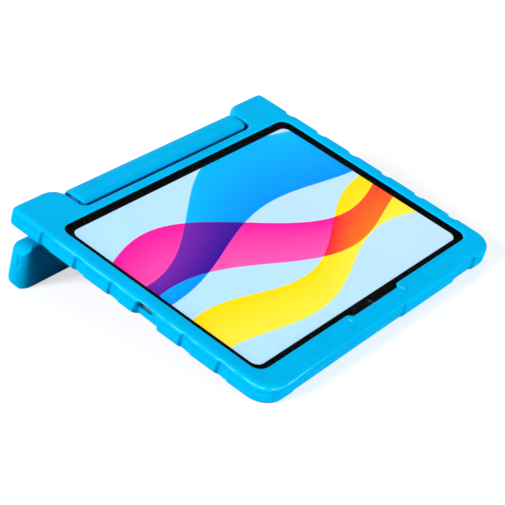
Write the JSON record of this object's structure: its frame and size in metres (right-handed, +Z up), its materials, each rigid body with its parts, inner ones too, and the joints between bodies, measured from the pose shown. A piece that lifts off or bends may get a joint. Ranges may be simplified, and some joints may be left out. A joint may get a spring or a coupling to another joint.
{
  "type": "kids tablet case",
  "caption": "Soft foam tablet case with a thick bumper rim and a hinged carrying handle that folds back as a stand, holding a tablet.",
  "frame": {"origin": "middle of the bounding box's underside, on the surface that the case stands on", "axes": "+X along the tablet's long side, port side at -X; +Y from the near rim towards the handle; +Z up"},
  "size_m": [0.26, 0.2204, 0.0607],
  "materials": {
    "foam": "matte moulded foam with a faint grain",
    "hinge_plastic": "moulded",
    "tablet_metal": "fine blasted",
    "glass": "polished",
    "gasket": "black",
    "display": "lit picture",
    "camera_glass": "polished dark",
    "port_steel": "plain",
    "circuit_board": "solder mask",
    "battery_film": "film",
    "speaker_plastic": "moulded"
  },
  "bodies": {
    "root": {"case_body": "foam", "hinge_bush_left": "hinge_plastic", "hinge_bush_right": "hinge_plastic", "tablet_housing": "tablet_metal", "cover_glass": "glass", "display_gasket": "gasket", "display_panel": "display", "front_camera": "camera_glass", "rear_camera_ring": "tablet_metal", "rear_camera_lens": "camera_glass", "usb_c_port": "port_steel", "battery_left": "battery_film", "battery_right": "battery_film", "logic_board": "circuit_board", "speaker_left": "speaker_plastic", "speaker_right": "speaker_plastic"},
    "handle": {"handle": "foam", "hinge_pin_left": "hinge_plastic", "hinge_pin_right": "hinge_plastic"},
    "power_button": {"power_button": "tablet_metal"},
    "volume_up_button": {"volume_up_button": "tablet_metal"},
    "volume_down_button": {"volume_down_button": "tablet_metal"}
  },
  "joints": [
    {"name": "handle_hinge", "type": "hinge", "parent": "root", "child": "handle", "pos_m": [0, 0.08923, 0.05125], "axis": [1, 0, 0], "range_deg": [0, 90]},
    {"name": "power_press", "type": "slide", "parent": "root", "child": "power_button", "axis": [-1, 0, 0], "range_m": [0, 0.0004], "stiffness_N_per_m": 1500},
    {"name": "volume_up_press", "type": "slide", "parent": "root", "child": "volume_up_button", "axis": [-1, 0, 0], "range_m": [0, 0.0004], "stiffness_N_per_m": 1500},
    {"name": "volume_down_press", "type": "slide", "parent": "root", "child": "volume_down_button", "axis": [-1, 0, 0], "range_m": [0, 0.0004], "stiffness_N_per_m": 1500}
  ]
}
